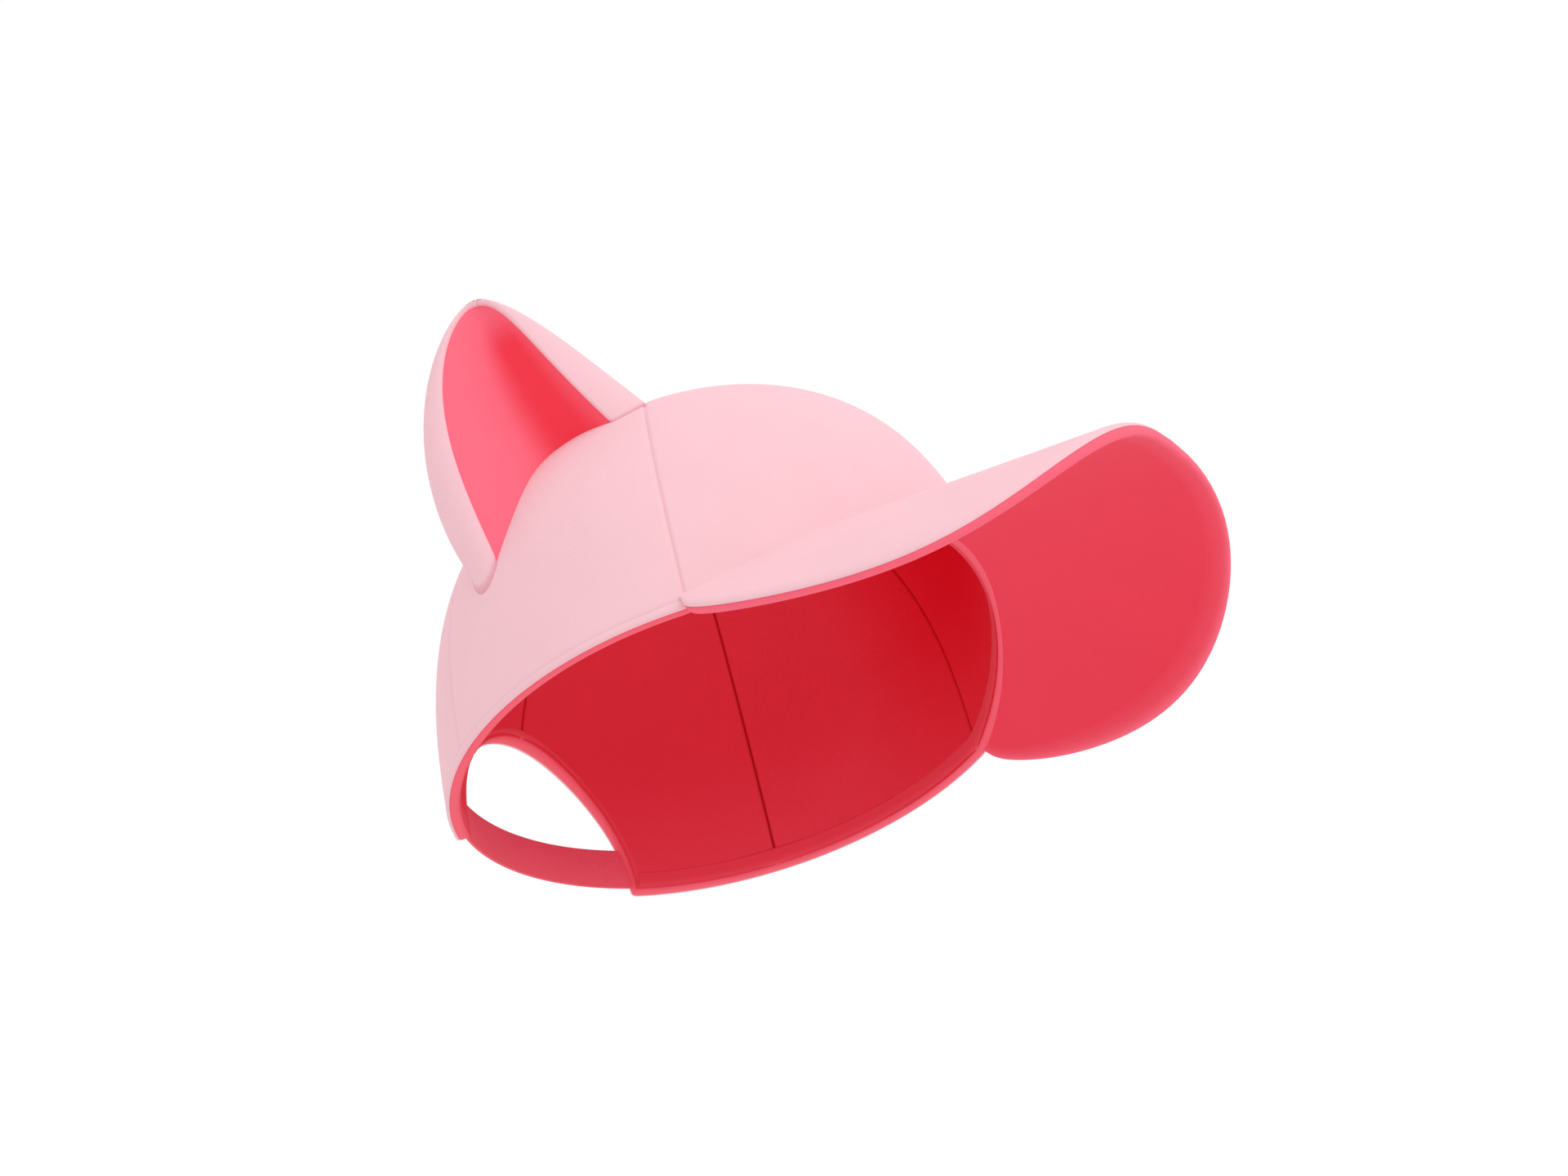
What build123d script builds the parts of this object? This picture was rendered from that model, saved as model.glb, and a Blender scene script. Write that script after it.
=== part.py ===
from build123d import *
import os
from math import asin, cos, degrees, hypot, pi, radians, sin

# Child's cat-ear baseball cap, in millimetres. The origin is the centre of the head opening on
# the hem plane. +Z is up, -Y is the front where the visor is, +X is the wearer's left.
# Angles around the crown start at the centre front and grow towards +X.

# ---- crown: a round dome that leans forward
HEAD_RADIUS = 85.0        # outside of the crown at the hem, for a 51 to 52 cm head
CROWN_HEIGHT = 97.0
DOME_POWER = 2.85         # 2 is a ball, more is a fuller shoulder
APEX_FORWARD = 10.0       # how far the top sits in front of the head's centre
SHELL = 1.4               # outer cloth
INTERLINING = 1.8         # buckram at the front, foam behind the other panels
LINING = 1.0
WALL = SHELL + INTERLINING + LINING
FRONT_SEAM = 62.0         # degrees from the centre front
BACK_SEAM = 119.0
FRONT_ARCH = 22.0         # how far the hem lifts over the brow
BACK_LIFT = 5.0           # and over the nape

# ---- back opening, strap and folded edge strips
OPENING_HALF_WIDTH = 41.0
OPENING_HEIGHT = 40.0
BINDING = 1.6             # depth of the folded edge strip
SLIVER = 0.7              # outer cloth left showing past the strip
STRAP_WIDTH = 13.0
STRAP_THICKNESS = 0.9
STRAP_INSET = 0.3         # keeps the leaning band centred between shell and lining
STRAP_LIFT = 2.4          # strap's lower edge above the back hem
STRAP_TUCK = 12.0         # degrees of strap inside each hem sleeve
STRAP_TRAVEL = 6.0        # degrees it can slide each way
SLEEVE_ROOM = 0.3         # spare height above and below the strap
SLEEVE_END = 1.0          # spare degrees past the strap's travel

# ---- visor: a stiff board between two cloths, arched across and falling forward
VISOR_REACH = 112.5       # from the hem corners forward to the tip
VISOR_SIDE_BULGE = 9.3
VISOR_CORNER_POWER = 0.62
VISOR_TIP_POWER = 1.9
VISOR_RADIUS = 84.3       # arch radius where the visor meets the centre front
VISOR_TAPER = 0.39        # loss of arch radius for each millimetre forward
VISOR_FALL = 0.24         # drop of the centre line for each millimetre forward
VISOR_ARCH_SPAN = 75.0    # half angle of the arch before its outline is cut
VISOR_SHEET_REACH = (20.0, 165.0)   # the uncut sheet's back and front, ahead of the head's centre
VISOR_CLOTH = 0.9
VISOR_BOARD = 1.8
VISOR_MARGIN = 1.6        # cloth turned past the board's edge

# ---- ears: U runs to the middle of the cap, V up the ear and N to its back
EAR_CORNER = (-79.0, 9.0, 46.0)
EAR_YAW = 55.0            # how far the open side is turned outward
EAR_LEAN = 16.0           # forward lean
EAR_HEIGHT = 74.0
EAR_CLOTH = 1.5
EAR_RIM = 27.5            # half width of the open side at the base
EAR_RIM_MIDDLE = (27.5, -28.9, 15.5)     # where its middle lies: base, slope, curve
EAR_FULL = 42.0           # half width at the fullest, behind the rim
EAR_FULL_MIDDLE = (34.0, -39.0, 19.0)
EAR_FULL_SHARE = 0.4      # share of the depth at which the ear is fullest
EAR_DEPTH = 20.0
EAR_TIP_DEPTH = 2.0
EAR_SCOOP = 11.0
EAR_LEVELS = (-0.15, 0.15, 0.4, 0.6, 0.76, 0.88, 0.965)

# ---- top button
BUTTON_RADIUS = 8.0
BUTTON_HEIGHT = 3.0
RIVET_RADIUS = 1.2
RIVET_HEAD = 5.0
RIVET_HEAD_THICKNESS = 0.8

FAR = 200.0
BELOW = 40.0              # surfaces and cutters start this far under the hem
HEM_POINTS = 48
TOP_RING = 86.5           # the dome ends in a small flat ring under the button
LEAN = Plane(origin=(0, 0, 0), x_dir=(1, 0, 0), z_dir=(0, -APEX_FORWARD, CROWN_HEIGHT))

PANELS = {
    "front": (-FRONT_SEAM, FRONT_SEAM),
    "left_side": (FRONT_SEAM, BACK_SEAM),
    "right_side": (-BACK_SEAM, -FRONT_SEAM),
    "left_back": (BACK_SEAM, 180.0),
    "right_back": (-180.0, -BACK_SEAM),
}


# ---------------------------------------------------------------- crown surfaces and cutters

def hem_height(angle):
    """Height of the hem at an angle in radians from the centre front."""
    seam = radians(FRONT_SEAM)
    if cos(angle) > cos(seam):
        return FRONT_ARCH * (1 - (sin(angle) / sin(seam)) ** 2)
    return BACK_LIFT * (cos(seam) - cos(angle)) / (cos(seam) + 1)


def dome(inset):
    """Solid under the crown surface, moved in by inset, from well below the hem."""
    top = CROWN_HEIGHT - inset
    heights = [-BELOW, -BELOW / 2, 0.0]
    heights += [top * sin(radians(turn)) for turn in (13, 26, 38, 49, 59, 68, 76, 82, TOP_RING)]
    rings = []
    for height in heights:
        share = max(height / top, 0.0)
        radius = (HEAD_RADIUS - inset) * (1 - share**DOME_POWER) ** (1 / DOME_POWER)
        centre = (0, -APEX_FORWARD * height / CROWN_HEIGHT, height)
        rings.append(Plane(centre) * Circle(radius).wire())
    return Solid.make_loft(rings)


def sector(start, end):
    """Wedge between two seam planes, which both hold the leaning line from origin to top."""
    steps = 4
    foot = Vector(0, APEX_FORWARD * BELOW / CROWN_HEIGHT, -BELOW)
    turns = [radians(start + (end - start) * i / steps) for i in range(steps + 1)]
    rim = [foot + Vector(FAR * sin(turn), -FAR * cos(turn), 0) for turn in turns]
    face = Face(Wire.make_polygon([foot] + rim, close=True))
    height = CROWN_HEIGHT + 2 * BELOW
    return Solid.extrude(face, Vector(0, -APEX_FORWARD * height / CROWN_HEIGHT, height))


def hem_cutter(raised):
    """Everything under the hem line, lifted by raised."""
    loops = []
    for radius in (0.55 * HEAD_RADIUS, 1.3 * HEAD_RADIUS):
        points = []
        for i in range(HEM_POINTS):
            turn = 2 * pi * i / HEM_POINTS
            points.append(Vector(radius * sin(turn), -radius * cos(turn), hem_height(turn) + raised))
        loops.append(Edge.make_spline(points, periodic=True))
    return Solid.extrude(Face.make_surface_from_curves(*loops), Vector(0, 0, -2 * BELOW))


def opening_cutter(grown):
    """Half-moon back opening: half an ellipse over a straight slot, grown by grown."""
    half_width = OPENING_HALF_WIDTH + grown
    rise = OPENING_HEIGHT + grown
    plane = Plane(origin=(0, HEAD_RADIUS / 4, BACK_LIFT), x_dir=(-1, 0, 0), z_dir=(0, 1, 0))
    above = Pos(0, rise) * Rectangle(3 * half_width, 2 * rise)
    arch = plane * (Ellipse(half_width, rise) & above)
    slot = plane * (Pos(0, -BELOW / 2) * Rectangle(2 * half_width, BELOW))
    return extrude(arch, HEAD_RADIUS) + extrude(slot, HEAD_RADIUS)


def back_band(half_angle, width, thickness):
    """Part of a leaning cylinder in the middle of the back wall's thickness."""
    middle = HEAD_RADIUS - SHELL - INTERLINING / 2 - STRAP_INSET
    ring = Cylinder(middle + thickness / 2, width) - Cylinder(middle - thickness / 2, width)
    steps = 6
    turns = [radians(180 - half_angle + 2 * half_angle * i / steps) for i in range(steps + 1)]
    points = [(0, 0)] + [(FAR * sin(turn), -FAR * cos(turn)) for turn in turns]
    fan = extrude(make_face(Polyline(*points, close=True)), width, both=True)
    rise = APEX_FORWARD / hypot(APEX_FORWARD, CROWN_HEIGHT)
    level = BACK_LIFT + STRAP_LIFT + STRAP_WIDTH / 2 - rise * middle
    return LEAN * (Pos(0, 0, level) * (ring & fan))


# ---------------------------------------------------------------- sub-parts

def make_crown():
    """Shell, interlining and lining of the five panels, with the folded edge strips."""
    outer, sliver = dome(0), dome(SLIVER)
    behind_shell = dome(SHELL)
    behind_foam = dome(SHELL + INTERLINING)
    inner = dome(WALL)
    hem, opening = hem_cutter(0), opening_cutter(0)
    hem_strip, opening_strip = hem_cutter(BINDING), opening_cutter(BINDING)
    rivet_hole = Pos(0, button_place(), CROWN_HEIGHT) * Cylinder(RIVET_RADIUS, 4 * WALL)

    sleeve_angle = opening_angle() + STRAP_TUCK + STRAP_TRAVEL + SLEEVE_END
    sleeve_width = STRAP_WIDTH + 2 * SLEEVE_ROOM
    sleeve = back_band(sleeve_angle, sleeve_width, 3 * INTERLINING)
    slot = back_band(sleeve_angle, sleeve_width, INTERLINING)

    shell = outer - behind_shell - hem - opening - (sliver & hem_strip) - (sliver & opening_strip)
    foam = behind_shell - behind_foam - hem_strip - opening_strip - sleeve
    lining = behind_foam - inner - hem_strip - opening_strip
    nodes = {}
    for name, (start, end) in PANELS.items():
        wedge = sector(start, end)
        nodes[name + "_panel"] = (shell & wedge) - rivet_hole
        middle = "front_buckram" if name == "front" else name + "_interlining"
        nodes[middle] = (foam & wedge) - rivet_hole
        nodes[name + "_lining"] = (lining & wedge) - rivet_hole

    edge = sliver - inner
    nodes["hem_binding"] = (edge & hem_strip) - hem - opening_strip - slot
    nodes["opening_binding"] = (edge & opening_strip) - opening - hem - slot
    return nodes, outer


def opening_angle():
    return degrees(asin(OPENING_HALF_WIDTH / HEAD_RADIUS))


def visor_sheet(low, high):
    """Arched sheet between two heights above the visor's under surface."""
    sections = []
    for forward in VISOR_SHEET_REACH:
        past_front = forward - HEAD_RADIUS
        radius = VISOR_RADIUS - VISOR_TAPER * past_front
        centre = FRONT_ARCH - VISOR_FALL * past_front - radius
        arcs = []
        for grown in (low, high):
            turns = [radians(VISOR_ARCH_SPAN * side) for side in (-1, 0, 1)]
            r = radius + grown
            arcs.append([Vector(r * sin(t), -forward, centre + r * cos(t)) for t in turns])
        under, over = arcs
        sections.append(Wire([
            Edge.make_three_point_arc(*under),
            Edge.make_line(under[2], over[2]),
            Edge.make_three_point_arc(*reversed(over)),
            Edge.make_line(over[0], under[0]),
        ]))
    return Solid.make_loft(sections, ruled=True)


def visor_outline(inset):
    """Prism of the visor's outline seen from above, inset from its edge."""
    corner_x = HEAD_RADIUS * sin(radians(FRONT_SEAM)) - inset
    corner_y = -HEAD_RADIUS * cos(radians(FRONT_SEAM))
    points = []
    for turn in (-90, -75, -58, -42, -27, -13, 0, 13, 27, 42, 58, 75, 90):
        s, c = sin(radians(turn)), max(cos(radians(turn)), 0.0)
        reach = abs(s) ** VISOR_CORNER_POWER * corner_x
        reach += (VISOR_SIDE_BULGE - inset / 2) * sin(2 * radians(abs(turn)))
        side = -1 if s < 0 else 1
        points.append((side * reach, corner_y - (VISOR_REACH - inset) * c**VISOR_TIP_POWER))
    edge = Spline(*points)
    back = Polyline(points[-1], (corner_x, 0), (-corner_x, 0), points[0])
    return Pos(0, 0, -FAR / 2) * extrude(make_face([edge, back]), FAR)


def make_visor(crown):
    total = 2 * VISOR_CLOTH + VISOR_BOARD
    outline = visor_outline(0)
    board_place = visor_outline(VISOR_MARGIN)
    clear_of_crown = dome(-VISOR_MARGIN)
    board = (visor_sheet(VISOR_CLOTH, VISOR_CLOTH + VISOR_BOARD) & board_place) - clear_of_crown
    upper = (visor_sheet(total / 2, total) & outline) - crown - board
    under = (visor_sheet(0, total / 2) & outline) - crown - board
    return {"visor_board": board, "visor_top_cover": upper, "visor_under_cover": under}


def curve_at(terms, share):
    base, slope, curve = terms
    return base + slope * share + curve * share**2


def ear_section(level, inset, scoop_front, scoop_depth):
    """Closed outline across the ear: round behind, scooped or flat at the open side."""
    share = max(level, 0.0)
    thinning = (1 - share**1.5) ** 0.7
    rim = EAR_RIM * (1 - share**1.22) ** 0.55 - inset
    rim_middle = curve_at(EAR_RIM_MIDDLE, share)
    wide = EAR_FULL * (1 - share**1.24) ** 0.6 - inset
    wide_middle = curve_at(EAR_FULL_MIDDLE, share)
    depth = EAR_DEPTH * thinning + EAR_TIP_DEPTH - inset
    height = level * EAR_HEIGHT
    places = [
        (rim_middle - rim, scoop_front),
        (wide_middle - wide, EAR_FULL_SHARE * depth),
        (wide_middle, depth),
        (wide_middle + wide, EAR_FULL_SHARE * depth),
        (rim_middle + rim, scoop_front),
    ]
    behind = Edge.make_spline([Vector(u, n, height) for u, n in places])
    scoop = scoop_front + scoop_depth * thinning
    front = Edge.make_three_point_arc(
        Vector(rim_middle + rim, scoop_front, height),
        Vector(rim_middle, scoop, height),
        Vector(rim_middle - rim, scoop_front, height),
    )
    return Wire([behind, front])


def ear_loft(inset, scoop_front, scoop_depth):
    sections = [ear_section(level, inset, scoop_front, scoop_depth) for level in EAR_LEVELS]
    return Solid.make_loft(sections)


def make_right_ear(crown):
    body = ear_loft(0, 0, EAR_SCOOP)
    core = ear_loft(EAR_CLOTH, -2 * EAR_CLOTH, 0.1)
    behind_lining = ear_loft(-2 * EAR_CLOTH, EAR_CLOTH, EAR_SCOOP)
    yaw, lean = radians(EAR_YAW), radians(EAR_LEAN)
    toward_middle = (cos(yaw), -sin(yaw), 0)
    up = (-sin(yaw) * sin(lean), -cos(yaw) * sin(lean), cos(lean))
    place = Plane(origin=EAR_CORNER, x_dir=toward_middle, z_dir=up)
    inside = body & core
    layers = {
        "ear_shell": body - core,
        "ear_lining": inside - behind_lining,
        "ear_padding": inside & behind_lining,
    }
    return {name: place * layer - crown for name, layer in layers.items()}


def make_strap():
    return back_band(opening_angle() + STRAP_TUCK, STRAP_WIDTH, STRAP_THICKNESS)


def button_place():
    return -APEX_FORWARD * sin(radians(TOP_RING))


def make_button():
    """Cloth-covered button on top, held by a rivet through the five panel tips."""
    seat = CROWN_HEIGHT * sin(radians(TOP_RING))
    ball = (BUTTON_RADIUS**2 + BUTTON_HEIGHT**2) / (2 * BUTTON_HEIGHT)
    cap = Pos(0, 0, BUTTON_HEIGHT - ball) * Sphere(ball)
    cap &= Pos(0, 0, BUTTON_HEIGHT) * Box(FAR, FAR, 2 * BUTTON_HEIGHT)
    inside = (CROWN_HEIGHT - WALL) * sin(radians(TOP_RING))
    length = seat - inside
    shank = Pos(0, 0, -length / 2) * Cylinder(RIVET_RADIUS, length)
    head_level = -length - RIVET_HEAD_THICKNESS / 2
    head = Pos(0, 0, head_level) * Cylinder(RIVET_HEAD, RIVET_HEAD_THICKNESS)
    top = Pos(0, button_place(), seat)
    return {"top_button": top * cap, "button_rivet": top * (shank + head)}


def main():
    os.makedirs("parts", exist_ok=True)
    nodes, crown = make_crown()
    nodes.update(make_visor(crown))
    for name, shape in make_right_ear(crown).items():
        nodes["right_" + name] = shape
        nodes["left_" + name] = mirror(shape, about=Plane.YZ)
    nodes["back_strap"] = make_strap()
    nodes.update(make_button())
    for name, shape in nodes.items():
        export_step(shape, f"parts/{name}.step")
        size = shape.bounding_box().size
        print(f"{name}: {len(shape.solids())} solid, {shape.volume:.0f} mm3, "
              f"{size.X:.0f} x {size.Y:.0f} x {size.Z:.0f}")


main()
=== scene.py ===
import math

import bmesh
import bpy
import numpy as np
from mathutils import Matrix, Vector


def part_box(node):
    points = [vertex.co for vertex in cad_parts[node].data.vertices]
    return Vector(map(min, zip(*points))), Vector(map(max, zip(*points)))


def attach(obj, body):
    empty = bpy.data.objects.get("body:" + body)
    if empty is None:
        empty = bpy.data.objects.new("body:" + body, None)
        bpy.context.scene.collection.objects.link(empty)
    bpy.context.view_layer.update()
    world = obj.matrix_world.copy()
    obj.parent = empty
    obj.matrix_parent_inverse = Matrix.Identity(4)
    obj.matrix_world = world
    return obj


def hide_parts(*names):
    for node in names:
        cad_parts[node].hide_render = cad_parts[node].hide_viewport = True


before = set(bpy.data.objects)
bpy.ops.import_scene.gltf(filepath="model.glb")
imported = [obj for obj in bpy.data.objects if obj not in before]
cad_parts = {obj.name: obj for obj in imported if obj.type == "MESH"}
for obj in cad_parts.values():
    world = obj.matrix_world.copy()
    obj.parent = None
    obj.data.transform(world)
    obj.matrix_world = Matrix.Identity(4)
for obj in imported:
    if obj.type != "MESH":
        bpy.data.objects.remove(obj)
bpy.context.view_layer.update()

# ---- the crown's driving sizes, in metres: the CAD model's, with the back opening refined
RADIUS = 0.085
HEIGHT = 0.097
POWER = 2.85
APEX_FORWARD = 0.010
WALL = 0.0042
FRONT_SEAM = math.radians(62)
BACK_SEAM = math.radians(119)
FRONT_ARCH = 0.022
BACK_LIFT = 0.0058
OPENING_HALF_WIDTH = 0.0394
OPENING_HEIGHT = 0.044
MM = 0.001

# ---- colours, linear
PINK = (0.895, 0.545, 0.596)
# painted shade in the crease where the ear's foot meets the crown
PINK_PAINTED_SHADE = (0.74, 0.33, 0.39)
CORAL = (0.86, 0.058, 0.098)
# painted shade deep inside the cap and on its front wall
CORAL_PAINTED_SHADE = (0.80, 0.004, 0.020)
# painted shade in the lining's seam grooves
CORAL_SEAM_PAINTED_SHADE = (0.50, 0.000, 0.004)
# painted highlight on the edge strips' rolled edge and along the strap's lower edge
CORAL_EDGE_HIGHLIGHT = (0.95, 0.125, 0.175)
# painted highlight along the visor's rounded rim
CORAL_RIM_HIGHLIGHT = (0.98, 0.135, 0.205)
CORAL_LIGHT = (0.88, 0.056, 0.096)
CORAL_EAR = (0.98, 0.155, 0.230)
# painted shade on the side of the ear's hollow toward the middle of the cap
CORAL_EAR_PAINTED_SHADE = (0.93, 0.050, 0.085)
CORAL_STRAP = (0.96, 0.115, 0.190)
FOAM_WHITE = (0.85, 0.80, 0.76)
BUCKRAM_WHITE = (0.80, 0.78, 0.72)
BOARD_WHITE = (0.85, 0.85, 0.84)
RIVET_GREY = (0.75, 0.75, 0.77)
FLOOR_WHITE = (0.9, 0.9, 0.9)


# ------------------------------------------------------------------ shapes

def crown(angle, z, inset=0.0):
    """Points on the crown surface moved in by inset; arrays of one shape give (..., 3)."""
    angle, z, inset = np.broadcast_arrays(angle, z, inset)
    share = np.clip(z / (HEIGHT - inset), 0, 1)
    radius = (RADIUS - inset) * (1 - share**POWER) ** (1 / POWER)
    y = -radius * np.cos(angle) - APEX_FORWARD * z / HEIGHT
    return np.stack([radius * np.sin(angle), y, z + 0 * angle], -1)


def hem_height(angle):
    angle = np.asarray(angle, float)
    front = FRONT_ARCH * (1 - (np.sin(angle) / math.sin(FRONT_SEAM)) ** 2)
    back = BACK_LIFT * (math.cos(FRONT_SEAM) - np.cos(angle)) / (math.cos(FRONT_SEAM) + 1)
    return np.where(np.cos(angle) > math.cos(FRONT_SEAM), front, back)


def arch_height(angle, grown=0.0):
    """Top of the back opening at an angle; under the hem where there is no opening."""
    x = RADIUS * np.sin(angle)
    half = OPENING_HALF_WIDTH + grown
    room = np.clip(1 - (x / half) ** 2, 0, 1)
    height = BACK_LIFT + (OPENING_HEIGHT + grown) * np.sqrt(room)
    return np.where((room > 0) & (np.cos(angle) < 0), height, -1.0)


def mesh_object(name, points, faces, material, shares=None):
    """A mesh piece; shares gives each point's share of its cloth's other colours, by name."""
    mesh = bpy.data.meshes.new(name)
    mesh.from_pydata([tuple(p) for p in points], [], [tuple(int(i) for i in f) for f in faces])
    for share, values in (shares or {}).items():
        attribute = mesh.attributes.new(share, "FLOAT", "POINT")
        attribute.data.foreach_set("value", np.asarray(values, np.float32))
    mesh.validate()
    mesh.update()
    obj = bpy.data.objects.new(name, mesh)
    bpy.context.collection.objects.link(obj)
    mesh.materials.append(material)
    mesh.polygons.foreach_set("use_smooth", [True] * len(mesh.polygons))
    fix_normals(obj)
    return obj


def fix_normals(obj):
    """Weld points that meet, and turn every face outward."""
    shape = bmesh.new()
    shape.from_mesh(obj.data)
    bmesh.ops.remove_doubles(shape, verts=shape.verts, dist=1e-6)
    bmesh.ops.recalc_face_normals(shape, faces=shape.faces)
    shape.to_mesh(obj.data)
    shape.free()


def grid_faces(rows, columns, start=0, wrap=False):
    faces = []
    last = columns if wrap else columns - 1
    for r in range(rows - 1):
        for c in range(last):
            d = (c + 1) % columns
            a, b = start + r * columns, start + (r + 1) * columns
            faces.append((a + c, a + d, b + d, b + c))
    return faces


def closed_sheet(name, outer, inner, material, shares=None):
    """Two grids of points, stitched round their borders into one closed skin."""
    rows, columns = outer.shape[:2]
    both = {share: np.tile(values.ravel(), 2) for share, values in (shares or {}).items()}
    points = np.concatenate([outer.reshape(-1, 3), inner.reshape(-1, 3)])
    n = rows * columns
    faces = grid_faces(rows, columns) + grid_faces(rows, columns, n)
    border = [c for c in range(columns)]
    border += [r * columns + columns - 1 for r in range(1, rows)]
    border += [(rows - 1) * columns + c for c in range(columns - 2, -1, -1)]
    border += [r * columns for r in range(rows - 2, 0, -1)]
    for i, a in enumerate(border):
        b = border[(i + 1) % len(border)]
        faces.append((a, b, n + b, n + a))
    return mesh_object(name, points, faces, material, both)


def sweep(name, sections, material, closed=False, painted_light_mix=None):
    """Skin over a list of closed rings of points, capped at both ends unless closed."""
    sections = np.asarray(sections)
    count, ring = sections.shape[:2]
    faces = grid_faces(count, ring, wrap=True)
    if closed:
        faces += [(
            (count - 1) * ring + c, (count - 1) * ring + (c + 1) % ring, (c + 1) % ring, c
        ) for c in range(ring)]
    else:
        faces.append(tuple(range(ring)))
        faces.append(tuple((count - 1) * ring + c for c in range(ring)))
    # the share blends between a painted highlight or shade colour and the plain one
    shares = None if painted_light_mix is None else {"painted_light_mix": np.tile(painted_light_mix, count)}
    return mesh_object(name, sections.reshape(-1, 3), faces, material, shares)


# ------------------------------------------------------------------ materials

def cloth(name, colour, weave=0.25, sheen=0.06, mottle=0.03, scale=1500.0, rough=0.9):
    """Matte cloth: a fine twill bump, a faint uneven dye and a soft sheen."""
    material = bpy.data.materials.new(name)
    material.use_nodes = True
    nodes, links = material.node_tree.nodes, material.node_tree.links
    shader = nodes["Principled BSDF"]
    shader.inputs["Roughness"].default_value = rough
    shader.inputs["Sheen Weight"].default_value = sheen
    shader.inputs["Sheen Roughness"].default_value = 0.6
    shader.inputs["Specular IOR Level"].default_value = 0.1
    place = nodes.new("ShaderNodeTexCoord")
    dye = nodes.new("ShaderNodeTexNoise")
    dye.inputs["Scale"].default_value = 60.0
    dye.inputs["Detail"].default_value = 3.0
    links.new(place.outputs["Object"], dye.inputs["Vector"])
    mix = nodes.new("ShaderNodeMix")
    mix.data_type = "RGBA"
    mix.inputs["A"].default_value = (*[c * (1 - mottle) for c in colour], 1)
    mix.inputs["B"].default_value = (*[min(1, c * (1 + mottle)) for c in colour], 1)
    links.new(dye.outputs["Fac"], mix.inputs["Factor"])
    links.new(mix.outputs["Result"], shader.inputs["Base Color"])
    waves = []
    for direction in ("DIAGONAL", "X"):
        wave = nodes.new("ShaderNodeTexWave")
        wave.bands_direction = direction
        wave.inputs["Scale"].default_value = scale
        wave.inputs["Distortion"].default_value = 1.5
        links.new(place.outputs["Object"], wave.inputs["Vector"])
        waves.append(wave)
    add = nodes.new("ShaderNodeMath")
    links.new(waves[0].outputs["Fac"], add.inputs[0])
    links.new(waves[1].outputs["Fac"], add.inputs[1])
    bump = nodes.new("ShaderNodeBump")
    bump.inputs["Strength"].default_value = weave
    bump.inputs["Distance"].default_value = 0.0001
    links.new(add.outputs["Value"], bump.inputs["Height"])
    links.new(bump.outputs["Normal"], shader.inputs["Normal"])
    return material


def add_share(material, colour, share="painted_light_mix"):
    """Take the cloth to another colour where the mesh's share of it is 1."""
    nodes, links = material.node_tree.nodes, material.node_tree.links
    shader = nodes["Principled BSDF"]
    light = shader.inputs["Base Color"].links[0].from_socket
    painted_light_mix = nodes.new("ShaderNodeAttribute")
    painted_light_mix.attribute_name = share
    mix = nodes.new("ShaderNodeMix")
    mix.data_type = "RGBA"
    mix.inputs["B"].default_value = (*colour, 1)
    links.new(light, mix.inputs["A"])
    links.new(painted_light_mix.outputs["Fac"], mix.inputs["Factor"])
    links.new(mix.outputs["Result"], shader.inputs["Base Color"])


FOAM = cloth("foam_layer", FOAM_WHITE, mottle=0.05, scale=700.0)
BUCKRAM = cloth("buckram_weave", BUCKRAM_WHITE, weave=0.6, scale=500.0)
PINK_CLOTH = cloth("pink_twill_cloth", PINK)
CORAL_CLOTH = cloth("coral_lining_cloth", CORAL, sheen=0.0)
# painted shade deep inside the cap and toward its front
add_share(CORAL_CLOTH, CORAL_PAINTED_SHADE)
# painted shade in the seam grooves
add_share(CORAL_CLOTH, CORAL_SEAM_PAINTED_SHADE, "seam")
EAR_SHELL_CLOTH = cloth("pink_ear_cloth", PINK)
# painted shade in the crease at the ear's foot
add_share(EAR_SHELL_CLOTH, PINK_PAINTED_SHADE, "foot_painted_shade")
# painted highlight round the edge strip's rolled edge, fading to plain coral further in
BINDING_CLOTH = cloth("coral_binding_cloth", CORAL_EDGE_HIGHLIGHT)
add_share(BINDING_CLOTH, CORAL)
UNDER_CLOTH = cloth("coral_visor_cloth", CORAL_LIGHT)
# painted highlight along the visor's rim
add_share(UNDER_CLOTH, CORAL_RIM_HIGHLIGHT, "edge")
EAR_CLOTH = cloth("coral_ear_cloth", CORAL_EAR)
# painted shade on the middle side of the ear's hollow
add_share(EAR_CLOTH, CORAL_EAR_PAINTED_SHADE)
STRAP_CLOTH = cloth("coral_strap_webbing", CORAL_STRAP, weave=0.6, mottle=0.10, scale=900.0)
# painted highlight along the strap's lower edge
add_share(STRAP_CLOTH, CORAL_EDGE_HIGHLIGHT)


def smooth_step(low, high, value):
    t = np.clip((value - low) / (high - low), 0, 1)
    return t * t * (3 - 2 * t)


# ------------------------------------------------------------------ crown

GROOVE = 0.5 * MM
PUFF = 0.15 * MM
SHEET = 1.0 * MM
LINING = 1.6 * MM
LINING_GROOVE = 0.8 * MM   # how deep the lining's face sinks at its seams
LINING_PUFF = 0.1 * MM     # and how much more it sinks for 5 mm round them
LAYER_GAP = 0.05 * MM
EDGE_COVER = 0.6 * MM     # panels end this far inside the edge, under the rolled strip
PANELS = {
    "front": (-FRONT_SEAM, FRONT_SEAM),
    "left_side": (FRONT_SEAM, BACK_SEAM),
    "right_side": (-BACK_SEAM, -FRONT_SEAM),
    "left_back": (BACK_SEAM, math.pi),
    "right_back": (-math.pi, -BACK_SEAM),
}


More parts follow.
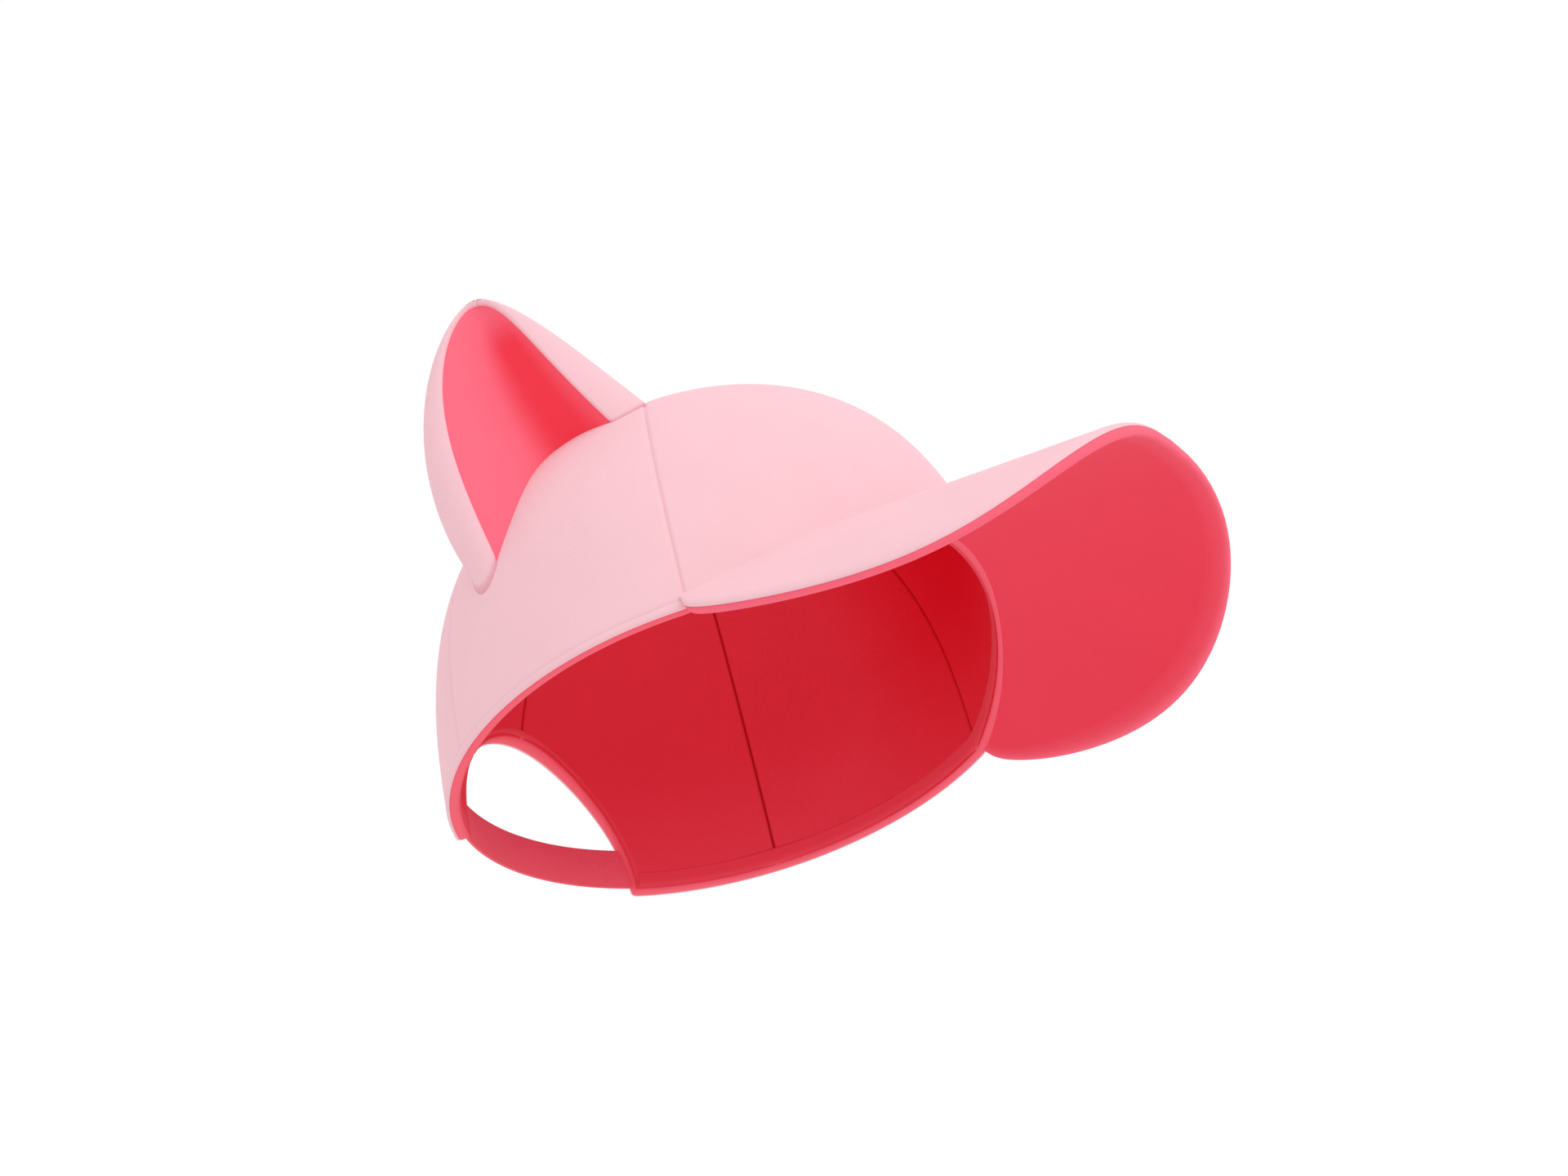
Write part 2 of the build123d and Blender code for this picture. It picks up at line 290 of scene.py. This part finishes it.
def panel_columns(start, end):
    """Angles across a panel, close together at its seams and round the back opening."""
    near = np.array([0, 0.15, 0.3, 0.5, 0.8, 1.2, 1.8, 2.8, 4.5]) * MM / RADIUS
    angles = list(start + near) + list(end - near) + list(np.linspace(start, end, 44)[2:-2])
    if abs(start) > 3 or abs(end) > 3:
        side = 1 if end > 3 else -1
        reach = np.sin(np.linspace(0, math.pi / 2, 26)[1:])
        half = OPENING_HALF_WIDTH + EDGE_COVER
        angles += [side * (math.pi - math.asin(half * r / RADIUS)) for r in reach]
    return np.unique(np.round(angles, 6))


def panel_grid(start, end, inset, groove, puff, width=0.8 * MM, rows=56):
    columns = panel_columns(start, end)
    low = hem_height(columns) + EDGE_COVER
    low = np.maximum(low, arch_height(columns, EDGE_COVER))
    top = HEIGHT - inset
    first = np.arcsin(np.clip(low / top, 0, 1) ** (POWER / 2))
    climb = np.linspace(0, 1, rows)[:, None] ** 1.25
    turn = first + (math.pi / 2 - first) * climb
    z = top * np.sin(turn) ** (2 / POWER)
    radius = (RADIUS - inset) * np.cos(turn).clip(0) ** (2 / POWER)
    seam = np.minimum(columns - start, end - columns) * np.maximum(radius, 12 * MM)
    dip = groove * np.exp(-(seam / width) ** 2) + puff * np.exp(-(seam / (5 * MM)) ** 2)
    radius = radius - dip * np.cos(turn) ** 0.5
    z = z - dip * np.sin(turn) ** 3
    y = -radius * np.cos(columns) - APEX_FORWARD * z / HEIGHT
    return np.stack([radius * np.sin(columns), y, z], -1)


def lining_shares(points, start, end):
    """Painted shade on the lining: how far each point is inside the cap, and how close it is to a
    seam.
    """
    x, z = points[..., 0], points[..., 2]
    y = points[..., 1] + APEX_FORWARD * z / HEIGHT
    angle = np.arctan2(x, -y)
    turned = np.where((angle < start - 0.1) | (angle > end + 0.1), -angle, angle)
    seam = np.minimum(turned - start, end - turned) * np.maximum(np.hypot(x, y), 8 * MM)
    front = smooth_step(-0.5, 0.8, np.cos(angle))
    inside = smooth_step(0.002, 0.050, z)
    # painted shade: deeper inside the cap and toward its front, and along the seam grooves
    return {"painted_light_mix": np.maximum(0.35 * inside, front * (0.6 + 0.4 * inside)),
            "seam": np.exp(-(seam / (0.3 * MM)) ** 2)}


def make_panels():
    for name, (start, end) in PANELS.items():
        outer = panel_grid(start, end, 0.0, GROOVE, PUFF, width=0.55 * MM)
        inner = panel_grid(start, end, SHEET, 0.0, 0.0)
        panel = closed_sheet(name + "_cloth", outer, inner, PINK_CLOTH)
        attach(panel, "cap")
        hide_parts(name + "_panel")
        outer = panel_grid(start, end, WALL - LINING, 0.0, 0.0)
        inner = panel_grid(start, end, WALL, -LINING_GROOVE, -LINING_PUFF, width=0.45 * MM)
        shares = lining_shares(inner, start, end)
        lining = closed_sheet(name + "_lining_cloth", outer, inner, CORAL_CLOTH, shares)
        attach(lining, "cap")
        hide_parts(name + "_lining")
        outer = panel_grid(start, end, SHEET + LAYER_GAP, 0.0, 0.0)
        inner = panel_grid(start, end, WALL - LINING - LAYER_GAP, 0.0, 0.0)
        stiff = name == "front"
        layer = "front_buckram" if stiff else name + "_interlining"
        middle = closed_sheet(layer + "_layer", outer, inner, BUCKRAM if stiff else FOAM)
        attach(middle, "cap")
        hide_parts(layer)


HEM_STEPS = 900
OPENING_STEPS = 300
EDGE_STEP = 0.5 * MM
CORNER_ROUND = 2.4        # in steps along the edge


def edge_path():
    """The hem from the right corner round the front, then back over the opening, as (arc, z)."""
    corner = math.pi - math.asin(OPENING_HALF_WIDTH / RADIUS)
    hem = np.linspace(-corner, corner, HEM_STEPS)
    points = [(RADIUS * a, float(hem_height(a))) for a in hem]
    for turn in np.linspace(0, math.pi, OPENING_STEPS):
        x = OPENING_HALF_WIDTH * math.cos(turn)
        angle = math.pi - math.asin(x / RADIUS)
        points.append((RADIUS * angle, BACK_LIFT + OPENING_HEIGHT * math.sin(turn)))
    points = np.array(points)
    length = 2 * math.pi * RADIUS
    step = np.hypot(*np.diff(points, axis=0).T)
    along = np.concatenate([[0], np.cumsum(step)])
    even = np.arange(0, along[-1], EDGE_STEP)
    even_points = np.stack([np.interp(even, along, points[:, i]) for i in (0, 1)], 1)
    turns = even_points[:, 0] / length
    smooth = smooth_loop(np.stack([turns * length, even_points[:, 1]], 1), CORNER_ROUND, length)
    return smooth, int(np.searchsorted(even, along[HEM_STEPS - 1]))


def smooth_loop(points, width, length):
    """Gaussian average along a loop that goes once round the crown."""
    reach = int(4 * width)
    weights = np.exp(-0.5 * (np.arange(-reach, reach + 1) / width) ** 2)
    weights /= weights.sum()
    before, after = points[-reach:] - [length, 0], points[:reach] + [length, 0]
    padded = np.concatenate([before, points, after])
    return np.stack([np.convolve(padded[:, i], weights, mode="valid") for i in (0, 1)], 1)


def edge_sections(path, profile):
    """Rings across the edge: profile lists (distance in from the edge, inset)."""
    length = 2 * math.pi * RADIUS
    before, after = path[-1:] - [length, 0], path[:1] + [length, 0]
    padded = np.concatenate([before, path, after])
    along = padded[2:] - padded[:-2]
    along /= np.linalg.norm(along, axis=1)[:, None]
    inward = np.stack([-along[:, 1], along[:, 0]], 1)
    rings = []
    for (arc, z), (side, up) in zip(path, inward):
        ring = [crown((arc + side * w) / RADIUS, z + up * w, inset) for w, inset in profile]
        rings.append(ring)
    return np.array(rings)


# sections across the edge, in millimetres: (distance in from the edge, depth into the wall)
ROLL = [(2.6, 0.06), (1.6, -0.02), (0.8, -0.05), (0.3, 0.08), (0.03, 0.4), (0.0, 0.75),
        (0.3, 1.1), (2.6, 1.1)]
STRIP = [(1.2, 1.0), (0.35, 0.8), (0.0, 1.0), (-0.15, 1.5), (-0.2, 2.3), (-0.05, 3.1),
         (0.3, 3.75), (0.9, 4.1), (1.7, 4.26), (2.6, 4.29), (3.6, 4.27), (4.6, 4.25), (5.6, 4.23),
         (6.2, 4.2), (6.3, 3.8), (2.0, 3.2)]
ARCH_STRIP = STRIP[:7] + [(0.9, 4.05), (1.5, 4.2), (2.1, 4.22), (2.6, 4.2), (3.0, 4.15),
                          (3.3, 4.05), (3.4, 3.9), (3.4, 3.6), (2.0, 3.2)]
# painted highlight: 0 round the strip's edge, rising to 1 where the strip is plain coral
STRIP_HIGHLIGHT_FADE = [0, 0, 0, 0, 0, 0.05, 0.2, 0.45, 0.75, 0.9, 1, 1, 1, 1, 1, 1]


def make_edges():
    path, corner = edge_path()
    roll = edge_sections(path, np.array(ROLL) * MM)
    strip = edge_sections(path, np.array(STRIP) * MM)
    narrow = edge_sections(path, np.array(ARCH_STRIP) * MM)
    rolled = sweep("edge_roll", roll, PINK_CLOTH, closed=True)
    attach(rolled, "cap")
    hem = sweep("hem_strip", strip[:corner + 1], BINDING_CLOTH, painted_light_mix=STRIP_HIGHLIGHT_FADE)
    arch_rings = np.concatenate([narrow[corner:], narrow[:1]])
    arch = sweep("opening_strip", arch_rings, BINDING_CLOTH, painted_light_mix=STRIP_HIGHLIGHT_FADE)
    for piece, node in ((hem, "hem_binding"), (arch, "opening_binding")):
        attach(piece, "cap")
        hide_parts(node)


# ------------------------------------------------------------------ visor

VISOR_REACH = 0.1125
VISOR_BULGE = 0.0093
VISOR_THICK = 0.0036
VISOR_COLUMNS = 161
VISOR_CORNER_POWER = 0.62
VISOR_TIP_POWER = 1.9
VISOR_ROOT_IN = 3.0 * MM   # the visor's root is sewn this far inside the crown's face
VISOR_RADIUS = 0.0843
VISOR_TAPER = 0.39
VISOR_FALL = 0.24
VISOR_PUFF = 0.8 * MM      # the visor's layers lie this much below the CAD's at the edge
VISOR_BEAD = 1.2 * MM      # the under cloth is thickest where it turns round the edge
# width of the bead along the visor's edge and of the painted highlight there
VISOR_RIM = 2.2 * MM
VISOR_BOARD_TOP = 2.0 * MM
VISOR_BOARD_IN = 4.0 * MM  # the board stops this far inside the edge
VISOR_BOARD_FACES = (1.85 * MM, 1.05 * MM)


def visor_point(x, y, lift):
    """Point at a place in plan, lifted square to the visor's arched under surface."""
    past = -y - RADIUS
    radius = VISOR_RADIUS - VISOR_TAPER * past
    centre = FRONT_ARCH - VISOR_FALL * past - radius
    turn = np.arcsin(np.clip(x / radius, -0.999, 0.999))
    return np.stack([
        x + lift * np.sin(turn), y + 0 * x, centre + radius * np.cos(turn) + lift * np.cos(turn)
    ], -1)


def visor_grid(rows, bead=0.0):
    """Points, and how near each is to the edge. The cloth stands out by bead along the edge.

    rows lists (share of the way from edge to crown, distance from edge, lift).
    """
    turn = math.pi / 2 * np.sin(np.linspace(-math.pi / 2, math.pi / 2, VISOR_COLUMNS))
    s, c = np.sin(turn), np.cos(turn).clip(0)
    corner_x, corner_y = RADIUS * math.sin(FRONT_SEAM), -RADIUS * math.cos(FRONT_SEAM)
    bulge = VISOR_BULGE * np.sin(2 * np.abs(turn))
    x = np.sign(s) * (np.abs(s) ** VISOR_CORNER_POWER * corner_x + bulge)
    y = corner_y - VISOR_REACH * c**VISOR_TIP_POWER
    edge = np.stack([x, y], 1)
    root_turn = FRONT_SEAM * turn / (math.pi / 2)
    root = (RADIUS - VISOR_ROOT_IN) * np.stack([np.sin(root_turn), -np.cos(root_turn)], 1)
    span = np.linalg.norm(root - edge, axis=1)
    grid, near = [], []
    for share, distance, lift in rows:
        q = share + np.minimum(distance / np.maximum(span, 1e-6), 0.45 * (1 - share))
        place = edge + (root - edge) * q[:, None]
        # close also gives the painted highlight along the rim
        close = np.exp(-(q * span / VISOR_RIM) ** 2)
        drop = VISOR_PUFF * (1 - share**2) + bead * close * max(0, 1 - lift / VISOR_BOARD_TOP)
        grid.append(visor_point(place[:, 0], place[:, 1], lift - drop))
        near.append(close)
    return np.array(grid), np.array(near)


def make_visor():
    t = VISOR_THICK
    inland = [(q, 0, 0) for q in np.linspace(0.06, 1, 26)]
    top = [(q, 2.5 * MM, t) for q, _, _ in inland[::-1]]
    top += [(0, 2.2 * MM, t), (0, 1.5 * MM, t - 0.08 * MM), (0, 0.8 * MM, t - 0.35 * MM)]
    top += [(0, 0.35 * MM, t - 0.75 * MM), (0, 0.12 * MM, t - 1.2 * MM), (0, 0.1 * MM, t - 1.5 * MM)]
    back = [(q, 2.5 * MM, 1.9 * MM) for q, _, _ in inland[::-1]]
    back += [(0, 2.2 * MM, 1.95 * MM), (0, 1.9 * MM, 1.97 * MM), (0, 1.5 * MM, 2.0 * MM)]
    back += [(0, 1.2 * MM, 2.0 * MM), (0, 0.9 * MM, 2.0 * MM), (0, 0.5 * MM, 2.02 * MM)]
    cover = closed_sheet("visor_top_cloth", visor_grid(top)[0], visor_grid(back)[0], PINK_CLOTH)
    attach(cover, "cap")
    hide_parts("visor_top_cover")
    under = [(q, 2.5 * MM, 0) for q, _, _ in inland[::-1]]
    under += [(0, 2.0 * MM, 0), (0, 1.1 * MM, 0.05 * MM), (0, 0.55 * MM, 0.25 * MM)]
    under += [(0, 0.2 * MM, 0.6 * MM), (0, 0, 1.2 * MM), (0, 0.1 * MM, 2.0 * MM)]
    back = [(q, 2.5 * MM, 1.0 * MM) for q, _, _ in inland[::-1]]
    back += [(0, 2.6 * MM, 1.0 * MM), (0, 2.2 * MM, 1.1 * MM), (0, 1.8 * MM, 1.3 * MM)]
    back += [(0, 1.4 * MM, 1.6 * MM), (0, 0.9 * MM, 1.9 * MM), (0, 0.4 * MM, 2.05 * MM)]
    below, near = visor_grid(under, VISOR_BEAD)
    above = visor_grid(back)[0]
    # the under cloth's painted highlight follows how close each point is to the edge
    lower = closed_sheet("visor_under_cloth", below, above, UNDER_CLOTH, {"edge": near})
    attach(lower, "cap")
    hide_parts("visor_under_cover")
    within = [share for share, _, _ in inland[-2::-1]] + [0]
    sides = []
    for lift in VISOR_BOARD_FACES:
        sides.append(visor_grid([(share, VISOR_BOARD_IN, lift) for share in within])[0])
    board = closed_sheet("visor_board_sheet", *sides, plain("board_sheet", BOARD_WHITE))
    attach(board, "cap")
    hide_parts("visor_board")


# ------------------------------------------------------------------ ears

EAR_CORNER = np.array([-81.0, 7.0, 46.5]) * MM
EAR_YAW = math.radians(55)
EAR_LEAN = math.radians(16)
EAR_HEIGHT = 73.6 * MM
EAR_RIM = 29.2 * MM       # half width of the open side at the base
EAR_FULL = 42.0 * MM      # and of the ear at its fullest, behind the rim
EAR_DEPTH = 20 * MM
EAR_TIP_DEPTH = 2 * MM
EAR_FULLEST = 0.4        # share of the depth at which the ear is widest
EAR_SCOOP = 13.5 * MM
EAR_LIP = 0.22           # share of the way round taken by each forward curl
EAR_OVERHANG = 1.02       # size of the cloth's rim over that of the open side within it
EAR_ROLL = 0.9 * MM       # radius of the cloth's turned edge at the rim
EAR_TIP_ROLL = 0.6        # the turned edge is this share thicker at the tip
EAR_LINING_IN = 0.2 * MM
EAR_LINING_BACK = 0.6 * MM
EAR_CLOTH_THICK = 1.2 * MM
EAR_FOAM_IN = 1.5 * MM
EAR_LINING_THICK = 0.8 * MM
ROLL_SIDE = 0.06          # how far past each rim the side goes on, round the turned edge
ROLL_TURN = 2.4           # radians that the edge turns
EAR_INSIDE = 0.05         # the cloth's inner face starts this far round, clear of the rolled edge


def ear_axes():
    yaw, lean = EAR_YAW, EAR_LEAN
    middle = np.array([math.cos(yaw), -math.sin(yaw), 0])
    up = np.array([-math.sin(yaw) * math.sin(lean), -math.cos(yaw) * math.sin(lean),
                   math.cos(lean)])
    return middle, np.cross(up, middle), up


def ear_place(u, n, v):
    middle, back, up = ear_axes()
    u, n, v = np.broadcast_arrays(u, n, v)
    return EAR_CORNER + u[..., None] * middle + n[..., None] * back + v[..., None] * up


def rim_line(level):
    """Middle and half width of the ear's open side at a share of its height."""
    share = np.clip(level, 0, 1)
    half = EAR_RIM * (1 - share**0.945) ** 0.5
    middle = 28.6 - 27.6 * share - 0.3 * share**2 + 13.9 * share**3
    return middle * MM, half


def outer_line(level):
    """The same at the ear's fullest, behind the rim."""
    share = np.clip(level, 0, 1)
    half = EAR_FULL * (1 - share**1.24) ** 0.6
    middle = 34.0 - 39.0 * share + 19.6 * share**2
    return middle * MM, half


def inward(level, sign):
    """Unit direction in the ear's plane from its rim toward its middle."""
    step = 0.002
    below, above = np.clip(level - step, 0, 1 - step), np.clip(level, step, 1)
    (middle_a, half_a), (middle_b, half_b) = rim_line(below), rim_line(above)
    slope = (middle_b + sign * half_b - middle_a - sign * half_a) / (EAR_HEIGHT * (above - below))
    size = np.hypot(1, slope)
    return -sign / size, sign * slope / size


def ear_shell_point(side, level, inset=0.0):
    """Round the back of the ear, side 0 to 1 from rim to rim, and past them round the roll."""
    rim_middle, rim = rim_line(level)
    rim = rim * EAR_OVERHANG
    wide_middle, wide = outer_line(level)
    share = np.clip(level, 0, 1)
    roll = EAR_ROLL * (1 + EAR_TIP_ROLL * share**8)
    depth = EAR_DEPTH * (1 - share**1.5) ** 0.7 + EAR_TIP_DEPTH * (1 - share**12) ** 0.5 - inset
    wide = wide - inset
    low = EAR_FULLEST * depth
    sign = np.where(side < 0.5, -1.0, 1.0)
    past = np.clip(np.abs(side - 0.5) - 0.5, 0, ROLL_SIDE) / ROLL_SIDE * ROLL_TURN
    inside = np.clip(side, 0, 1)
    turn = np.clip((inside - EAR_LIP) / (1 - 2 * EAR_LIP), 0, 1) * math.pi
    curl = np.minimum(np.minimum(inside, 1 - inside) / EAR_LIP, 1) * math.pi / 2
    edge = (1 - np.sin(curl)) * (sign * (rim - wide) + rim_middle - wide_middle)
    across, down = inward(level, sign)
    u = wide_middle - wide * np.cos(turn) + edge + roll * np.sin(past) * across
    n = low * (1 - np.cos(curl)) + (depth - low) * np.sin(turn)
    n = n + roll * (1 - np.cos(past)) + inset * 0.5
    v = level * EAR_HEIGHT * EAR_OVERHANG + roll * np.sin(past) * down
    return ear_place(u, n, v)


def ear_scoop_point(side, level, inset=0.0):
    """Across the open side, from the outer rim to the middle rim, hollowed to the back."""
    rim_middle, rim = rim_line(level)
    share = np.clip(level, 0, 1)
    depth = EAR_SCOOP * (1 - share**1.8) ** 0.72
    inset = inset * (1 - share**8)
    across = 0.5 - 0.5 * np.cos(math.pi * side)
    hollow = np.sin(math.pi * across**1.5).clip(0) ** 1.5
    rim = np.maximum(rim * EAR_OVERHANG - EAR_LINING_IN, 0.1 * MM)
    u = rim_middle + (2 * across - 1) * rim
    v = level * EAR_HEIGHT * EAR_OVERHANG
    return ear_place(u, EAR_LINING_BACK + depth * hollow + inset, v)


def crown_gap(points, inset=0.0):
    """How far outside the crown's cloth the points are, measured level."""
    share = np.clip(points[..., 2] / (HEIGHT - inset), 0, 1)
    radius = (RADIUS - inset) * (1 - share**POWER) ** (1 / POWER)
    away = np.hypot(points[..., 0], points[..., 1] + APEX_FORWARD * points[..., 2] / HEIGHT)
    return away - radius


def above_crown(points, inset):
    return (crown_gap(points, inset) > 0) | (points[..., 2] > HEIGHT - inset)


def from_crown(surface, sides, rows, top, inset=0.8 * MM):
    """Grid of a surface from just inside the crown's cloth up to its top."""
    levels = np.linspace(-0.25, top, 400)
    start = []
    for side in sides:
        clear = above_crown(surface(side, levels), inset)
        inside = np.where(~clear)[0]
        start.append(levels[inside.max()] if len(inside) else levels[0])
    start = np.array(start)
    climb = np.linspace(0, 1, rows)[:, None]
    climb = 1 - (1 - climb) ** 1.8
    level = start + (top - start) * climb
    return surface(np.broadcast_to(sides, level.shape), level)


def paint_ear_shade(lining, flip):
    """Painted shade: the side of the hollow toward the middle of the cap is deeper in colour, fading
    out toward the tip.
    """
    count = len(lining.data.vertices)
    points = np.empty(count * 3)
    lining.data.vertices.foreach_get("co", points)
    away = points.reshape(-1, 3) * flip - EAR_CORNER
    middle, back, up = ear_axes()
    level = (away @ up) / EAR_HEIGHT
    rim_middle, rim = rim_line(level)
    across = (away @ middle - rim_middle + rim) / np.maximum(2 * rim, 1e-6)
    # painted shade: strongest across the middle side of the hollow, fading near the tip
    painted_light_mix = smooth_step(0.42, 0.72, across) * (1 - 0.45 * smooth_step(0.85, 1.0, across))
    painted_light_mix = painted_light_mix * (1 - smooth_step(0.82, 0.99, level))
    attribute = lining.data.attributes.new("painted_light_mix", "FLOAT", "POINT")
    attribute.data.foreach_set("value", painted_light_mix.astype(np.float32))


def make_ear(side_name, flip):
    sides = 0.5 - 0.5 * np.cos(np.linspace(0, math.pi, 61))
    roll = np.linspace(0, ROLL_SIDE, 8)[1:]
    round_sides = np.concatenate([-roll[::-1], sides, 1 + roll])
    outer = from_crown(ear_shell_point, round_sides, 80, 1.0)
    inner_sides = np.clip(round_sides, EAR_INSIDE, 1 - EAR_INSIDE)
    inner = from_crown(lambda s, v: ear_shell_point(s, v, EAR_CLOTH_THICK), inner_sides, 80, 0.985)
    # painted shade: the ear cloth darkens where it lies within about 1.3 mm of the crown's cloth
    foot_painted_shade = {"foot_painted_shade": 1 - smooth_step(0.1 * MM, 1.3 * MM, crown_gap(outer))}
    shell = closed_sheet(side_name + "_ear_cloth", outer * flip, inner * flip, EAR_SHELL_CLOTH, foot_painted_shade)
    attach(shell, "cap")
    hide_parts(side_name + "_ear_shell")
    front = from_crown(ear_scoop_point, sides, 70, 0.99)
    back = from_crown(lambda s, v: ear_scoop_point(s, v, EAR_LINING_THICK), sides, 70, 0.985)
    lining = closed_sheet(side_name + "_ear_lining_cloth", front * flip, back * flip, EAR_CLOTH)
    outer = from_crown(lambda s, v: ear_shell_point(s, v, EAR_FOAM_IN), sides, 40, 0.9)
    inner = from_crown(lambda s, v: ear_scoop_point(s, v, 0.9 * MM), sides, 40, 0.9)
    padding = closed_sheet(side_name + "_ear_foam", outer * flip, inner * flip, FOAM)
    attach(padding, "cap")
    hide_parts(side_name + "_ear_padding")
    paint_ear_shade(lining, flip)
    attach(lining, "cap")
    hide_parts(side_name + "_ear_lining")


# ------------------------------------------------------------------ strap and button

STRAP_RADIUS = 0.0824
STRAP_LOW = -0.00035
STRAP_WIDTH = 0.013
STRAP_THICK = 0.0009
STRAP_HALF_ANGLE = math.radians(40.8)
STRAP_ROUND = 0.35 * MM
STRAP_EASE = 0.1 * MM
BUTTON_RINGS = 15
BUTTON_SIDES = 48
BUTTON_SINK = 0.3 * MM    # the button's edge lies this far into the crown


def make_strap():
    lean = math.atan2(APEX_FORWARD, HEIGHT)
    t, w, r, e = STRAP_THICK / 2, STRAP_WIDTH, STRAP_ROUND, STRAP_EASE
    profile = [(-t, r), (-t, w / 2), (-t, w - r), (-t + e, w - e), (0, w), (t - e, w - e),
               (t, w - r), (t, w / 2), (t, r), (t - e, e), (0, 0), (-t + e, e)]
    rings = []
    for turn in np.linspace(-STRAP_HALF_ANGLE, STRAP_HALF_ANGLE, 121):
        ring = []
        for grown, level in profile:
            radius = STRAP_RADIUS + grown
            across, back = radius * math.sin(turn), radius * math.cos(turn)
            height = STRAP_LOW + level
            y = back * math.cos(lean) - height * math.sin(lean)
            z = back * math.sin(lean) + height * math.cos(lean)
            ring.append((across, y, z))
        rings.append(ring)
    # painted highlight: the points on the strap's lower edge take the lighter edge colour
    edge = [1 if level < 0.5 * MM else 0 for _, level in profile]
    strap = sweep("back_strap_webbing", rings, STRAP_CLOTH, painted_light_mix=edge)
    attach(strap, "strap")
    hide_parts("back_strap")


def make_button():
    low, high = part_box("top_button")
    centre = [(a + b) / 2 for a, b in zip(low, high)]
    radius = (high[0] - low[0]) / 2
    height = high[2] - low[2]
    rings = []
    around = np.linspace(0, 2 * math.pi, BUTTON_SIDES, endpoint=False)
    for share in np.linspace(0, 1, BUTTON_RINGS)[:-1]:
        turn = share * math.pi / 2
        reach, rise = radius * math.cos(turn) ** 0.7, height * math.sin(turn) ** 0.9
        z = low[2] - BUTTON_SINK + rise + BUTTON_SINK * share
        rings.append([
            (centre[0] + reach * math.cos(a), centre[1] + reach * math.sin(a), z) for a in around
        ])
    rings.append([(centre[0], centre[1], high[2])] * BUTTON_SIDES)
    button = sweep("button_cloth", rings, PINK_CLOTH)
    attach(button, "cap")
    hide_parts("top_button")


# ------------------------------------------------------------------ stage

CAMERA_PLACE = (-0.52567, -0.28428, -0.3286)
CAMERA_RIGHT = (0.57626, -0.76016, -0.30013)
CAMERA_FORWARD = (0.76174, 0.36653, 0.53424)
LENS = 54.82              # on a sensor 36 mm wide
FLOOR_LEVEL = -1.5
FLOOR_HALF = 30
KEY_PLACE = (-0.4, -2.2, 0.9)


def make_camera():
    """Below the cap, on the wearer's right side and a little in front."""
    camera = bpy.data.cameras.new("camera")
    camera.lens = LENS
    camera.sensor_width = 36
    camera.clip_end = 50
    obj = bpy.data.objects.new("camera", camera)
    bpy.context.collection.objects.link(obj)
    right = Vector(CAMERA_RIGHT).normalized()
    forward = Vector(CAMERA_FORWARD)
    forward = (forward - forward.dot(right) * right).normalized()
    up = right.cross(forward)
    basis = Matrix((right, up, -forward)).transposed().to_4x4()
    obj.matrix_world = Matrix.Translation(CAMERA_PLACE) @ basis
    bpy.context.scene.camera = obj


def plain(name, colour):
    material = bpy.data.materials.new(name)
    material.use_nodes = True
    shader = material.node_tree.nodes["Principled BSDF"]
    shader.inputs["Base Color"].default_value = (*colour, 1)
    shader.inputs["Roughness"].default_value = 0.9
    return material


def area_light(name, place, size, power):
    light = bpy.data.lights.new(name, "AREA")
    light.size = size
    light.energy = power
    obj = bpy.data.objects.new(name, light)
    bpy.context.collection.objects.link(obj)
    obj.location = place
    obj.rotation_euler = (-Vector(place)).to_track_quat("-Z", "Y").to_euler()


def make_stage():
    corners = [(-1, -1), (1, -1), (1, 1), (-1, 1)]
    points = [(x * FLOOR_HALF, y * FLOOR_HALF, FLOOR_LEVEL) for x, y in corners]
    floor = mesh_object("floor", points, [(0, 1, 2, 3)], plain("floor_white", FLOOR_WHITE))
    world = bpy.data.worlds.new("studio")
    world.use_nodes = True
    world.node_tree.nodes["Background"].inputs["Color"].default_value = (1, 1, 1, 1)
    world.node_tree.nodes["Background"].inputs["Strength"].default_value = 1.0
    bpy.context.scene.world = world
    bpy.context.scene.view_settings.view_transform = "Standard"
    area_light("key", KEY_PLACE, size=1.5, power=13)


def dress_rivet():
    """The rivet keeps its CAD shape."""
    metal = plain("rivet_aluminium", RIVET_GREY)
    shader = metal.node_tree.nodes["Principled BSDF"]
    shader.inputs["Metallic"].default_value = 1.0
    shader.inputs["Roughness"].default_value = 0.35
    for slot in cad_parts["button_rivet"].material_slots:
        slot.material = metal


make_camera()
make_stage()
make_panels()
make_edges()
make_visor()
make_ear("right", np.array([1, 1, 1]))
make_ear("left", np.array([-1, 1, 1]))
make_strap()
make_button()
dress_rivet()
